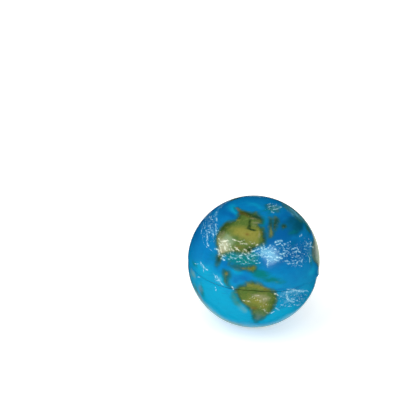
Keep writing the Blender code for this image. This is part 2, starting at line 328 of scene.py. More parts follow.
# White brush strokes, as half width in degrees and the line they follow.
STROKES = [
    # North Pacific
    (0.8, [(-144, 49.4), (-140, 50), (-136, 49)]), (0.9, [(-133, 46.6), (-129, 45.4), (-127, 43.4)]),
    (0.8, [(-126, 43.6), (-123, 42), (-121, 40.4)]),
    (0.9, [(-131, 41.2), (-127, 40), (-124, 38.4), (-122, 38)]),
    (0.8, [(-141, 41.6), (-137, 41.4), (-134, 40.6)]), (0.7, [(-139, 36.4), (-135, 37), (-131, 37.8)]),
    (1, [(-134, 35.6), (-130, 34), (-127, 31), (-125, 29.4), (-121, 28.2)]),
    (0.7, [(-149, 33.6), (-146, 32.6), (-142, 31)]), (0.7, [(-156, 36.4), (-151, 36.6)]),
    (0.6, [(-148, 38.2), (-144, 36.6)]), (0.7, [(-160, 51.6), (-155, 52), (-150, 50.6)]),
    (0.6, [(-157, 46.6), (-150, 45), (-144, 47)]),
    (0.35, [(-138, 31.6), (-133, 28.4), (-126, 26.6), (-112, 26.2)]),
    # along the south of North America
    (1.1, [(-114, 38.6), (-110, 36.4), (-107, 37.6), (-102, 39.2)]),
    (1.2, [(-106, 36), (-103, 34), (-100, 32)]),
    (1, [(-112, 28.8), (-108, 29.6), (-106, 27.6), (-104.6, 25.6)]), (0.7, [(-98, 38), (-96, 35.2)]),
    (0.6, [(-97, 42.2), (-92, 42), (-88, 41.6), (-83, 44)]),
    (0.9, [(-86.5, 40.4), (-83, 40.8), (-79.4, 41.2)]), (0.4, [(-79, 43.8), (-75, 43.4)]),
    (0.8, [(-73.6, 41.6), (-70.6, 42.6)]), (0.7, [(-68.6, 40.8), (-67.2, 42)]),
    (1, [(-94.6, 34), (-91.6, 32.8)]), (0.6, [(-90, 34.8), (-87.4, 34.8), (-85.2, 34.2)]),
    (0.9, [(-81.4, 36.2), (-78, 35.2)]), (1, [(-69.4, 36.4), (-66, 38), (-62.6, 38.4)]),
    (0.8, [(-69, 34), (-66, 34.2)]), (0.8, [(-76, 33.2), (-73.4, 32.4)]),
    (0.7, [(-82, 32.6), (-78, 32.2), (-76.4, 31)]), (0.7, [(-84.6, 30.2), (-82, 31)]),
    (0.9, [(-73, 31), (-69, 32.4), (-64, 32.6), (-59.6, 32.8)]), (0.7, [(-93.2, 30), (-90.4, 29.4)]),
    (0.6, [(-89, 29.8), (-86.6, 29.6)]), (0.6, [(-91, 26.8), (-87, 27.4)]),
    (0.7, [(-103, 26.2), (-99, 26), (-96.6, 24.6)]), (0.9, [(-102.6, 23.8), (-98.4, 23.2)]),
    (0.5, [(-97, 24.4), (-92.4, 25.2)]), (0.5, [(-86, 24.6), (-81, 25.8)]),
    (0.4, [(-82, 23.4), (-77, 24), (-72.2, 25.2)]), (0.7, [(-76, 29.6), (-74, 28)]),
    (0.5, [(-70, 27.8), (-66.4, 28.2)]), (0.4, [(-68.4, 25.4), (-63.6, 26.2)]),
    (1.4, [(-62.2, 39.4), (-62, 36), (-62.6, 33)]), (0.9, [(-60.6, 37.6), (-56, 38.6), (-52.6, 41)]),
    (0.9, [(-59.6, 31.4), (-55, 32), (-52, 30.2)]), (1, [(-57.6, 34.6), (-53.6, 35.4), (-49.8, 33.8)]),
    (0.8, [(-51, 38.4), (-47.4, 37)]), (0.8, [(-50, 29), (-46, 27.2)]),
    (0.6, [(-55.6, 28.4), (-52.6, 26.6)]), (0.9, [(-91.6, 36.4), (-88.6, 35.8)]),
    (0.6, [(-96.4, 33.4), (-94, 30.8)]), (0.9, [(-108.6, 33.6), (-105.6, 31), (-103.4, 28.6)]),
    (0.7, [(-110.6, 34.8), (-106.8, 34.4)]), (0.7, [(-104.4, 38.4), (-100.4, 36)]),
    (0.6, [(-76.6, 38.6), (-73.8, 38.2)]), (0.8, [(-72.6, 35), (-70, 35.8)]),
    (0.9, [(-60.4, 42.6), (-59.8, 39.4)]),
    # North Atlantic
    (1.1, [(-46.4, 43.2), (-42, 44), (-37.6, 43.8)]), (0.8, [(-45, 41), (-40, 42)]),
    (0.6, [(-36.2, 41), (-33.4, 41)]), (0.6, [(-32, 41.2), (-26.8, 41.4)]),
    (0.7, [(-39.2, 40.4), (-38, 37.4)]), (1.2, [(-43.6, 33), (-38.2, 32.6)]),
    (0.9, [(-48, 30.6), (-41, 29)]), (0.5, [(-39, 35.4), (-34, 34.2)]), (0.6, [(-34, 36.6), (-31.4, 36)]),
    (0.7, [(-29, 34.4), (-24, 34.8), (-21, 34), (-19.8, 32.6)]),
    (0.9, [(-27, 31.6), (-22.4, 32), (-19, 30)]), (0.5, [(-35, 32.4), (-31.4, 31.6)]),
    (0.4, [(-32, 28.2), (-24, 27)]), (0.7, [(-39.4, 26.6), (-36, 25.8)]),
    (0.8, [(-37.6, 24), (-33, 23.4)]), (0.8, [(-31.6, 23), (-28.4, 21.8)]),
    (0.8, [(-26.6, 22.4), (-23, 23.4), (-20, 21.4)]), (0.6, [(-20, 25.2), (-19.4, 23)]),
    (0.4, [(-32, 25.4), (-26, 25)]), (0.6, [(-25, 19.6), (-21, 18.4)]), (0.6, [(-13, 30.6), (-9, 29.6)]),
    (0.9, [(-9.4, 42), (-3.6, 42.2)]), (0.9, [(-9.6, 32), (-2.8, 32.6)]),
    (0.9, [(-3, 29.8), (2, 28.4), (6, 25.6)]), (0.8, [(1, 30.4), (5.4, 31.2)]),
    (0.8, [(-9.6, 24.4), (-7.8, 20.6), (-9.4, 17.6)]), (0.9, [(-57, 29), (-56.8, 23.4)]),
    # tropical Pacific and the isthmus
    (0.9, [(-123.4, 11.8), (-120, 11), (-117.2, 9.4)]), (1, [(-115.8, 9.6), (-112.4, 9.2)]),
    (0.7, [(-118, 8.6), (-116.8, 5.8)]), (0.5, [(-132, 6.4), (-128, 8), (-124.6, 9.6)]),
    (0.8, [(-123.6, -2.6), (-120.6, -1.6)]), (0.9, [(-105.4, 8.8), (-102.8, 6), (-101, 3.8)]),
    (1.1, [(-101.8, 8), (-99.8, 4.8), (-97, 3), (-95, 1.6)]), (0.9, [(-86.4, 2.4), (-84.6, 0)]),
    (0.6, [(-101.4, -3), (-100.8, -6)]),
    # South America and the South Atlantic
    (0.6, [(-68, -4.2), (-65, -3.4), (-62, -2.6)]), (0.6, [(-75.4, -9.2), (-71.6, -9.6), (-69.6, -9.2)]),
    (0.6, [(-58, -6), (-57, -9)]),
    (0.8, [(-56, -17.4), (-54.8, -20.4), (-52.6, -22.4), (-48.6, -23), (-46.4, -21.4)]),
    (0.9, [(-48.8, -1.4), (-45, -3.4)]), (0.5, [(-45, -3.6), (-40, -6.2), (-35.6, -8.6)]),
    (1.3, [(-38, 0.8), (-33, 0.2), (-28, -2.2), (-22, -4.8), (-17, -7)]),
    (0.9, [(-37.6, -0.6), (-36.4, -4.6), (-35.4, -9)]), (1.1, [(-35.4, -9), (-31.6, -12), (-27, -14.6)]),
    (0.8, [(-31, -9.4), (-27, -12), (-23, -14.4)]), (0.7, [(-16.4, -6.2), (-12, -8.2), (-8.6, -10.4)]),
    (0.6, [(-32.4, -18), (-28.8, -19.2)]), (0.7, [(-26.4, -17), (-22, -20), (-15, -23)]),
    (0.6, [(-48.4, -12.6), (-46, -13.2)]), (0.7, [(-45.6, -16.8), (-43, -19), (-40.8, -20.6)]),
    (0.6, [(-41.2, -13.6), (-38.8, -15.2)]),
    # Arctic
    (0.9, [(-12, 74.6), (-2, 73.4), (8, 72.2)]), (0.8, [(-18, 79.4), (0, 78.4), (18, 75.4)]),
    (0.7, [(4, 82), (30, 79)]), (0.7, [(-30, 72.6), (-22, 71.6)]), (0.8, [(14, 71.6), (24, 70.2)]),
    # Europe and Asia
    (0.8, [(54, 41), (58, 46.6), (64, 45.6)]), (0.7, [(56, 54.4), (62, 57), (70, 54), (78, 51)]),
    (0.6, [(42, 43), (52, 44.4), (60, 50)]), (1.1, [(74, 56.6), (80, 61.4), (90, 58.4), (98, 60)]),
    (1.3, [(88, 70), (92, 66.4), (90, 62)]), (1.6, [(108, 75.6), (116, 73), (126, 72.8)]),
    (0.9, [(98, 61.6), (106, 66), (114, 64), (104, 59)]), (0.7, [(130, 60), (140, 63.4), (150, 66)]),
    (0.9, [(164, 56), (172, 60), (-178, 58)]), (0.8, [(150, 58), (162, 60.4), (174, 58.6)]),
    # West Pacific, Australia and the Indian Ocean
    (1.1, [(118, 23), (124, 25.6), (130, 22), (127, 16)]),
    (1, [(146, 43), (153, 42), (150, 38), (157, 36), (150, 32.4)]),
    (0.9, [(166, 46), (176, 47.6), (-179, 42), (178, 34)]), (1.3, [(-170, 44), (-168, 36)]),
    (1.5, [(140, 2), (148, 4), (156, 1.6), (158, -4.6), (150, -7), (154, -9.6)]),
    (1, [(116, -26), (118, -18), (126, -16), (132, -18.6)]),
    (1.3, [(106, -38), (114, -37.4), (120, -42)]), (0.9, [(48, -4), (56, -8), (66, -9), (70, -14)]),
    (0.7, [(60, 2), (68, 4.4), (76, 1)]), (0.9, [(2, -42), (14, -45.4), (28, -43)]),
    (0.9, [(66, -40), (80, -43.6), (96, -41)]), (1, [(-170, -42), (-160, -46.6), (-148, -44)]),
    (0.8, [(-120, -50), (-106, -53), (-92, -50.4)]), (0.6, [(14, 12), (22, 14.4), (30, 11.6)]),
    (0.7, [(20, -12), (28, -15), (34, -13)]), (0.8, [(-62, -50), (-48, -53), (-34, -50)]),
]


# --- geography on the ball ---
def directions(degrees):
    """Unit vectors from the ball's centre for (longitude, latitude) pairs."""
    lon, lat = np.radians(np.asarray(degrees, float)).T
    turn = lon - math.radians(FRONT_LONGITUDE)
    return np.stack([np.cos(lat) * np.sin(turn), -np.cos(lat) * np.cos(turn), np.sin(lat)], 1)


def flat_map(points, centre):
    """Directions as (east, north) degrees on a plane that touches the ball at centre."""
    east = np.cross([0.0, 0.0, 1.0], centre)
    east /= max(np.linalg.norm(east), TINY)
    north = np.cross(centre, east)
    away = np.degrees(np.arccos(np.clip(points @ centre, -1, 1)))
    across = np.stack([points @ east, points @ north], 1)
    return across * (away / np.maximum(np.linalg.norm(across, axis=1), TINY))[:, None]


def smooth_loop(corners, steps=5):
    """A closed curve through the corners, rounded as Catmull-Rom."""
    before, after = np.roll(corners, 1, 0), np.roll(corners, -1, 0)
    beyond = np.roll(corners, -2, 0)
    pieces = []
    for t in np.arange(steps) / steps:
        pieces.append(0.5 * (2 * corners + (after - before) * t
                             + (2 * before - 5 * corners + 4 * after - beyond) * t ** 2
                             + (3 * corners - before - 3 * after + beyond) * t ** 3))
    return np.stack(pieces, 1).reshape(-1, 2)


def distance_to(points, a, b):
    """Distance of 2D points from the segment a-b."""
    along = b - a
    t = np.clip((points - a) @ along / max(along @ along, TINY), 0, 1)
    return np.linalg.norm(points - a - t[:, None] * along, axis=1)


def surroundings(points, corners, margin):
    """The middle of some corners, and which points lie within a margin, in degrees, of the furthest one."""
    centre = corners.mean(0) / np.linalg.norm(corners.mean(0))
    reach = math.degrees(math.acos(min(1.0, (corners @ centre).min()))) + margin
    return centre, points @ centre > math.cos(math.radians(min(reach, WHOLE_BALL)))


def coast_distance(points, outline):
    """Degrees inside (+) or outside (-) a closed outline, cut off at FAR_OFF."""
    corners = directions(outline)
    centre, near = surroundings(points, corners, FAR_OFF)
    result = np.full(len(points), -FAR_OFF)
    p = flat_map(points[near], centre)
    loop = smooth_loop(flat_map(corners, centre))
    best = np.full(len(p), np.inf)
    inside = np.zeros(len(p), bool)
    for a, b in zip(loop, np.roll(loop, -1, 0)):
        best = np.minimum(best, distance_to(p, a, b))
        spans = (a[1] > p[:, 1]) != (b[1] > p[:, 1])
        rise = b[1] - a[1] if abs(b[1] - a[1]) > TINY else TINY
        inside ^= spans & (p[:, 0] < a[0] + (p[:, 1] - a[1]) * (b[0] - a[0]) / rise)
    result[near] = np.clip(np.where(inside, best, -best), -FAR_OFF, FAR_OFF)
    return result


def tint_field(points, spots):
    """0 to 1: how strongly a tint lies on each point."""
    clear = np.ones(len(points))
    for lon, lat, wide, high, strength in spots:
        centre = directions([(lon, lat)])[0]
        p = flat_map(points, centre) / (wide, high)
        clear *= 1 - min(strength, 1.0) * np.exp(-(p ** 2).sum(1))
    return 1 - clear


def stroke_field(points):
    """1 on the middle of a brush stroke, 0 on its edge and below 0 outside it."""
    field = np.full(len(points), OFF_STROKE)
    for half, line in STROKES:
        corners = directions(line)
        centre, near = surroundings(points, corners, (1 - OFF_STROKE) * half + 1)
        p, q = flat_map(points[near], centre), flat_map(corners, centre)
        away = np.min([distance_to(p, a, b) for a, b in zip(q, q[1:])], axis=0)
        field[near] = np.maximum(field[near], 1 - away / (half * BRUSH))
    return field


def wander(points, size, amount):
    """The points shifted by smooth noise, size and amount in degrees, so that no outline is ruled."""
    shift = np.array([noise.noise_vector(Vector(p) * (WANDER_SCALE / size)) for p in points])
    moved = points + shift * math.radians(amount)
    return moved / np.linalg.norm(moved, axis=1)[:, None]


def paint_fields(mesh, print_turn):
    """Writes the print, with a few spots of painted shade, highlight and rim glow, on a film's points as
    named fields that the material reads.
    """
    count = len(mesh.vertices)
    co = np.empty(count * 3)
    mesh.vertices.foreach_get("co", co)
    points = co.reshape(-1, 3) - np.array(CENTRE)
    points /= np.linalg.norm(points, axis=1)[:, None]
    c, s = math.cos(math.radians(print_turn)), math.sin(math.radians(print_turn))
    points = points @ np.array([[c, s, 0], [-s, c, 0], [0, 0, 1]])
    coast_points = points
    for size, amount in COAST_WANDERS:
        coast_points = wander(coast_points, size, amount)
    fields = {"land": np.max([coast_distance(coast_points, o) for o in LANDS.values()], axis=0)}
    tint_points = wander(points, *TINT_WANDER)
    for name, spots in TINTS.items():
        fields[name] = tint_field(tint_points, spots)
    fields["stroke"] = stroke_field(wander(points, *STROKE_WANDER))
    for name, values in fields.items():
        attribute = mesh.attributes.new(name, "FLOAT", "POINT")
        attribute.data.foreach_set("value", values.astype(np.float32))


# --- pieces ---
def put_in_scene(obj):
    bpy.context.scene.collection.objects.link(obj)
    return obj


def near_longitude(azimuth, lon, spread):
    """1 at a longitude, easing to 0 over spread degrees to either side."""
    middle = math.radians(lon - FRONT_LONGITUDE - 90)
    off = np.degrees(np.angle(np.exp(1j * (azimuth - middle))))
    return np.exp(-(off / spread) ** 2)


def seam_drift(azimuth):
    """How far the seam strays from the equator, in radians of latitude."""
    return sum(math.radians(degrees) * near_longitude(azimuth, lon, spread)
               for lon, spread, degrees in SEAM_DRIFTS)


def lathe(name, rows, dip=None, root=None, tip=None):
    """A mesh of revolution from rows of (radius, height), facing outwards where they climb.

    dip(latitude, azimuth) draws points inwards. root and tip are heights on the axis that close the ends.
    """
    azimuth = np.arange(AROUND) * 2 * math.pi / AROUND
    points = []
    for r, z in rows:
        lat = math.atan2(z - CENTRE.z, r)
        out = math.hypot(r, z - CENTRE.z) - (dip(math.degrees(lat), azimuth) if dip else 0.0)
        moved = lat + seam_drift(azimuth) * math.exp(-(math.degrees(lat) / DRIFT_SPREAD) ** 2)
        ring = out * np.cos(moved)
        height = CENTRE.z + out * np.sin(moved)
        points.append(np.stack([ring * np.cos(azimuth), ring * np.sin(azimuth), height], 1))
    verts = [tuple(p) for p in np.concatenate(points)]
    faces = []
    for i in range(len(rows) - 1):
        for j in range(AROUND):
            k = (j + 1) % AROUND
            faces.append((i * AROUND + j, i * AROUND + k, (i + 1) * AROUND + k, (i + 1) * AROUND + j))
    if root is not None:
        verts.append((0.0, 0.0, root))
        faces += [((j + 1) % AROUND, j, len(verts) - 1) for j in range(AROUND)]
    if tip is not None:
        verts.append((0.0, 0.0, tip))
        last = (len(rows) - 1) * AROUND
        faces += [(last + j, last + (j + 1) % AROUND, len(verts) - 1) for j in range(AROUND)]
    mesh = bpy.data.meshes.new(name)
    mesh.from_pydata(verts, [], faces)
    mesh.shade_smooth()
    return put_in_scene(bpy.data.objects.new(name, mesh))


def rim_rows(side):
    """The turned-in rim, from its hidden end out to where it meets the ball's surface."""
    middle = SLOT_HALF + LIP_ROUND
    shoulder = math.sqrt((RADIUS - LIP_ROUND) ** 2 - middle ** 2)
    rows = [(RADIUS - LIP_DEPTH, SLOT_HALF), (RADIUS - LIP_MIDDLE * LIP_DEPTH, SLOT_HALF)]
    turned = math.asin(middle / (RADIUS - LIP_ROUND))
    for a in np.linspace(-math.pi / 2, turned, RIM_STEPS):
        rows.append((shoulder + LIP_ROUND * math.cos(a), middle + LIP_ROUND * math.sin(a)))
    return [(r, CENTRE.z + side * z) for r, z in rows]


def skin_rows(side):
    """Rows from the rim's shoulder to the pole, or to the resting patch below."""
    start = math.asin((SLOT_HALF + LIP_ROUND) / (RADIUS - LIP_ROUND))
    end = math.pi / 2 - (math.pi / 2 / UP if side > 0 else math.asin(PATCH_RADIUS / RADIUS))
    lats = np.linspace(start, end, UP)[1:]
    rows = [(RADIUS * math.cos(a), CENTRE.z + side * RADIUS * math.sin(a)) for a in lats]
    if side < 0:
        rows += [(PATCH_RADIUS * (1 - i / PATCH_RINGS), 0.0) for i in range(1, PATCH_RINGS)]
    return rows


def inside_rows(side):
    """The film's hidden side, from next to the pole or the patch back to the rim."""
    inner = RADIUS - FILM
    low = math.asin((SLOT_HALF + FILM) / inner)
    high = math.pi / 2 * (1 - 1 / UP_INSIDE) if side > 0 else math.acos((PATCH_RADIUS - FILM) / inner)
    lats = np.linspace(high, low, UP_INSIDE)
    rows = [(inner * math.cos(a), CENTRE.z + side * inner * math.sin(a)) for a in lats]
    return rows + [(RADIUS - LIP_DEPTH, CENTRE.z + side * (SLOT_HALF + FILM))]


def eastern(azimuth):
    """1 at the map's east, falling to 0 in the west."""
    return ((1 + np.cos(azimuth)) / 2) ** 2


def south_dip(lat, azimuth):
    """How far the lower film and the foam are drawn in below the seam."""
    deepest = SOUTH_DIP + (SOUTH_DIP_EAST - SOUTH_DIP) * eastern(azimuth)
    return deepest * math.exp(-(lat / DIP_SPREAD) ** 2)


def north_dip(lat, azimuth):
    """How far the upper film is drawn in above the seam, less the flare of its edge."""
    drawn = NORTH_DIP_EAST * math.exp(-(lat / DIP_SPREAD) ** 2)
    flare = LIP_FLARE * math.exp(-(lat / FLARE_SPREAD) ** 2)
    return (drawn - flare) * eastern(azimuth) ** 2


def make_films():
    """The two printed hemispheres, each closed on its hidden side."""
    up = inside_rows(1) + rim_rows(1) + skin_rows(1)
    north = lathe("north_film", up, north_dip, root=CENTRE.z + RADIUS - FILM, tip=CENTRE.z + RADIUS)
    down = inside_rows(-1) + rim_rows(-1) + skin_rows(-1)
    south = lathe("south_film", down[::-1], south_dip, root=0.0, tip=down[0][1])
    paint_fields(north.data, 0.0)
    paint_fields(south.data, SOUTH_PRINT_TURN)
    return north, south


def weld_dip(lat, azimuth):
    """How far the fused ring lies below the ball's surface."""
    depth = south_dip(0.0, azimuth) + WELD_SINK
    for lon, spread in SEAM_OPEN:
        depth += WELD_OPEN * near_longitude(azimuth, lon, spread)
    return depth + LUMP_HEIGHT * np.sin(azimuth * LUMPS + LUMP_SWAY * np.sin(azimuth * LUMP_SWAYS))


def make_weld():
    """The fused ring at the bottom of the seam."""
    edge = [(RADIUS - WELD_HALF * (1 - math.cos(a)), CENTRE.z + WELD_HALF * math.sin(a))
            for a in np.linspace(-math.pi / 2, math.pi / 2, WELD_STEPS)]
    inner = RADIUS - WELD_REACH
    rows = [(inner, CENTRE.z - WELD_HALF)] + edge + [(inner, CENTRE.z + WELD_HALF)]
    weld = lathe("weld_bead", rows + rows[:1], weld_dip)
    paint_fields(weld.data, 0.0)
    return weld


def make_foam():
    """The foam ball with the groove that the turned-in rims sit in."""
    start = math.asin(GROOVE_HALF / FOAM_RADIUS)
    floor = math.asin((CENTRE.z - FOAM_LOW.z) / FOAM_RADIUS)
    halves = np.linspace(-floor, -start, UP_FOAM), np.linspace(start, math.pi / 2, UP_FOAM)[:-1]
    bottom, top = ([(FOAM_RADIUS * math.cos(a), CENTRE.z + FOAM_RADIUS * math.sin(a)) for a in half]
                   for half in halves)
    groove_r = FOAM_RADIUS - GROOVE_DEPTH
    groove = [(groove_r, CENTRE.z - GROOVE_HALF), (groove_r, CENTRE.z + GROOVE_HALF)]
    rows = bottom + groove + top
    return lathe("foam_ball", rows, south_dip, root=FOAM_LOW.z, tip=CENTRE.z + FOAM_RADIUS)


# --- materials ---
SEA_TONE_HEIGHTS = (24, 44)      # millimetres above the table over which the sea turns from a lighter cyan low down to a deeper blue higher up


def shade(red, green, blue):
    """A colour given as it looks on screen, 0 to 255, in the linear values that shaders use."""
    def linear(v):
        v /= 255
        return v / 12.92 if v <= 0.04045 else ((v + 0.055) / 1.055) ** 2.4
    return (linear(red), linear(green), linear(blue), 1.0)


class Paint:
    """Builds one material's nodes in the order they are read."""

    def __init__(self, name):
        self.material = bpy.data.materials.new(name)
        self.material.use_nodes = True
        self.nodes = self.material.node_tree.nodes
        self.links = self.material.node_tree.links
        self.shader = self.nodes["Principled BSDF"]
        place = self.add("ShaderNodeTexCoord").outputs["Object"]
        self.mm = self.stretch(place, (1 / MM, 1 / MM, 1 / MM))

    def add(self, kind, inputs=None, **settings):
        node = self.nodes.new(kind)
        for key, value in settings.items():
            setattr(node, key, value)
        for key, value in (inputs or {}).items():
            self.put(node.inputs[key], value)
        return node

    def put(self, socket, value):
        if isinstance(value, bpy.types.NodeSocket):
            self.links.new(value, socket)
        else:
            socket.default_value = value

    def stretch(self, vector, factors):
        return self.add("ShaderNodeVectorMath", {0: vector, 1: factors}, operation="MULTIPLY").outputs[0]

    def field(self, name):
        return self.add("ShaderNodeAttribute", attribute_name=name).outputs["Fac"]

    def noise(self, size, detail=2.0, rough=0.5, warp=0.0, vector=None):
        """Noise around 0.5, with features about size millimetres across."""
        return self.add("ShaderNodeTexNoise", {
            "Vector": vector or self.mm, "Scale": 1 / size,
            "Detail": detail, "Roughness": rough, "Distortion": warp,
        }).outputs[0]

    def math(self, operation, a, b=0.0):
        return self.add("ShaderNodeMath", {0: a, 1: b}, operation=operation).outputs[0]

    def times(self, a, b):
        return self.math("MULTIPLY", a, b)

    def step(self, value, low, high):
        """0 below low and 1 above high, eased between."""
        return self.add("ShaderNodeMapRange", {"Value": value, "From Min": low, "From Max": high},
                        interpolation_type="SMOOTHSTEP").outputs[0]

    def between(self, value, low, high):
        """low where value is 0 and high where it is 1."""
        return self.add("ShaderNodeMapRange", {"Value": value, "To Min": low, "To Max": high}).outputs[0]

    def mix(self, share, a, b):
        return self.add("ShaderNodeMix", {0: share, 6: a, 7: b}, data_type="RGBA").outputs[2]

    def shifted(self, value, pattern, amount):
        """value plus a noise pattern centred on zero."""
        return self.math("ADD", value, self.times(self.math("SUBTRACT", pattern, 0.5), amount))

    def tint(self, under, name, pattern, ragged, low, high, colour):
        """A painted field's colour over another. The noise pattern makes its edge ragged."""
        field = self.shifted(self.field(name), pattern, ragged)
        return self.mix(self.step(field, low, high), under, colour)

    def patches(self, under, pattern, low, high, share, colour):
        """A share of a colour over another, where a noise pattern runs from low to high."""
        return self.mix(self.times(self.step(pattern, low, high), share), under, colour)

    def bump(self, height, distance, strength=1.0, below=None):
        inputs = {"Height": height, "Distance": distance, "Strength": strength}
        if below is not None:
            inputs["Normal"] = below
        return self.add("ShaderNodeBump", inputs).outputs[0]

    def finish(self, colour, roughness, normal, **values):
        self.put(self.shader.inputs["Base Color"], colour)
        self.put(self.shader.inputs["Roughness"], roughness)
        self.put(self.shader.inputs["Normal"], normal)
        for key, value in values.items():
            self.shader.inputs[key.replace("_", " ")].default_value = value
        return self.material


def printed_film():
    """Airbrushed globe print under a clear glossy coat, with a few spots of painted shade, painted
    highlight and painted rim glow.
    """
    p = Paint("printed_film")
    broad, cloudy = p.noise(9.0, 3), p.noise(3.2, 4, 0.55)
    fine, grain = p.noise(1.1, 3, 0.6), p.noise(0.45, 2)
    streaky = p.noise(2.6, 3, 0.6, 0.8, p.stretch(p.mm, (1, 1, 2.6)))

    # sea: a lighter cyan low on the ball turning to a deeper blue higher up, with patches of print; a few
    # spots paint shade along the seam, a highlight under the key softbox and glow along the edges
    height = p.add("ShaderNodeSeparateXYZ", {0: p.mm}).outputs["Z"]
    north = p.step(p.shifted(height, broad, 14), *SEA_TONE_HEIGHTS)
    sea = p.mix(north, shade(0, 150, 196), shade(0, 124, 186))
    sea = p.tint(sea, "bright", cloudy, 0.3, 0.1, 0.8, shade(0, 162, 202))
    # dark blue: print, and painted shade along the seam on the right
    sea = p.tint(sea, "deep_and_seam_shade", cloudy, 0.5, 0.1, 0.8, shade(0, 98, 164))
    sea = p.patches(sea, streaky, 0.45, 0.8, 0.30, shade(0, 96, 160))
    sea = p.patches(sea, cloudy, 0.5, 0.8, 0.25, shade(0, 164, 210))
    area = p.step(p.field("cloud_field"), 0.08, 0.75)
    sea = p.mix(p.times(area, 0.25), sea, shade(0, 84, 140))
    sea = p.tint(sea, "dusk", cloudy, 0.5, 0.1, 0.9, shade(0, 86, 112))
    sea = p.tint(sea, "teal", streaky, 0.5, 0.15, 0.8, shade(0, 122, 124))
    # milky green-grey: print, and painted rim glow along the upper right and lower edges
    sea = p.tint(sea, "milk_and_rim_glow", streaky, 0.4, 0.1, 1.0, shade(104, 166, 162))
    sea = p.tint(sea, "dust", cloudy, 0.5, 0.1, 1.1, shade(112, 124, 136))
    # pale cyan: print haze, and a painted highlight under the key softbox and painted rim glow at the upper
    # right edge
    sea = p.tint(sea, "haze_and_painted_highlight", streaky, 0.9, 0.15, 1.0, shade(116, 196, 226))

    # land: dark rims, olive inland, ochre, pale, rust and forest patches
    inland = p.shifted(p.shifted(p.field("land"), fine, 0.9), cloudy, 3.0)
    land = p.mix(p.step(inland, -0.8, 4.2), shade(40, 80, 44), shade(84, 112, 48))
    land = p.patches(land, cloudy, 0.42, 0.66, 0.6, shade(106, 124, 54))
    land = p.tint(land, "ochre", cloudy, 0.7, 0.15, 1.0, shade(144, 142, 58))
    land = p.tint(land, "forest", cloudy, 0.6, 0.15, 0.9, shade(34, 66, 26))
    land = p.tint(land, "pale", streaky, 0.7, 0.15, 1.0, shade(166, 160, 126))
    land = p.tint(land, "rust", cloudy, 0.6, 0.2, 1.0, shade(124, 90, 36))
    land = p.patches(land, fine, 0.52, 0.72, 0.25, shade(150, 152, 84))
    land = p.patches(land, fine, 0.46, 0.30, 0.25, shade(44, 72, 30))
    shore = p.times(p.step(inland, -3.4, -0.2), 0.6)
    print_colour = p.mix(shore, sea, shade(0, 106, 112))
    # land fades where this field is high; over Europe that clears the land under the painted rim glow
    solid = p.math("SUBTRACT", 1.0, p.times(p.field("faint"), 0.95))
    printed_land = p.times(p.step(inland, -2.4, 2.0), solid)
    print_colour = p.mix(printed_land, print_colour, land)

    # clouds: ragged brush strokes, squiggles and flecks, with a thin veil round the strokes
    ragged = p.shifted(p.shifted(p.field("stroke"), fine, 2.6), grain, 2.6)
    veil = p.times(p.step(ragged, -1.2, 0.9), 0.28)
    thin = p.mix(printed_land, shade(48, 160, 208), shade(150, 158, 120))
    print_colour = p.mix(veil, print_colour, thin)
    wave = p.noise(2.3, 2, 0.5, 0.6, p.stretch(p.mm, (1, 1, 1.5)))
    line = p.step(p.math("ABSOLUTE", p.math("SUBTRACT", wave, 0.5)), 0.035, 0.008)
    broken = p.step(p.shifted(fine, grain, 0.3), 0.50, 0.60)
    squiggle = p.times(p.times(line, broken), p.step(area, 0.1, 0.6))
    flecks = p.shifted(p.noise(1.15, 3, 0.62, 1.2, p.stretch(p.mm, (1, 1, 1.7))), grain, 0.16)
    low = p.math("SUBTRACT", 0.78, p.times(area, 0.19))
    fleck = p.step(p.math("SUBTRACT", flecks, low), 0.0, 0.10)
    small = p.times(p.math("MAXIMUM", squiggle, fleck), 0.62)
    white = p.math("MAXIMUM", p.times(p.step(ragged, 0.1, 1.2), 0.92), small)
    cloud = p.mix(printed_land, shade(178, 228, 240), shade(222, 224, 196))
    print_colour = p.mix(white, print_colour, cloud)

    peel = p.bump(p.noise(1.6, 2), 0.05 * MM)
    ink = p.bump(fine, 0.01 * MM, 0.4, peel)
    roughness = p.between(cloudy, 0.36, 0.50)
    return p.finish(print_colour, roughness, ink, Specular_IOR_Level=0.0,
                    Coat_Weight=1.0, Coat_Roughness=0.17, Coat_IOR=1.45)


def melted_film():
    """Fused film at the bottom of the seam, in the print's colours made darker: painted shade of the narrow
    slot it lies in, darker still in the hollows between its lumps.
    """
    p = Paint("melted_film")
    lumps = p.noise(0.5, 3, 0.6)
    # darker versions of the sea and land print: painted shade in the seam, darkest where the lumps dip
    sea = p.mix(p.step(lumps, 0.35, 0.65), shade(4, 70, 112), shade(10, 104, 150))
    land = p.mix(p.step(lumps, 0.35, 0.65), shade(14, 24, 10), shade(40, 50, 20))
    colour = p.mix(p.step(p.field("land"), -1.0, 1.0), sea, land)
    roughness = p.between(lumps, 0.35, 0.65)
    return p.finish(colour, roughness, p.bump(lumps, 0.05 * MM))


def open_foam():
    """Cream polyurethane foam with fine cells."""
    p = Paint("open_foam")
    cells = p.add("ShaderNodeTexVoronoi", {"Vector": p.mm, "Scale": 2.2}, feature="F1").outputs["Distance"]
    tone = p.noise(7.0, 3)
    colour = p.mix(p.step(tone, 0.3, 0.7), shade(238, 228, 196), shade(224, 206, 160))
    # darker in the hollows of the foam's cells, where the bump dips: painted shade in the pores
    colour = p.patches(colour, cells, 0.35, 0.0, 0.5, shade(176, 152, 104))
    roughness = p.between(tone, 0.85, 0.98)
    return p.finish(colour, roughness, p.bump(cells, 0.15 * MM))


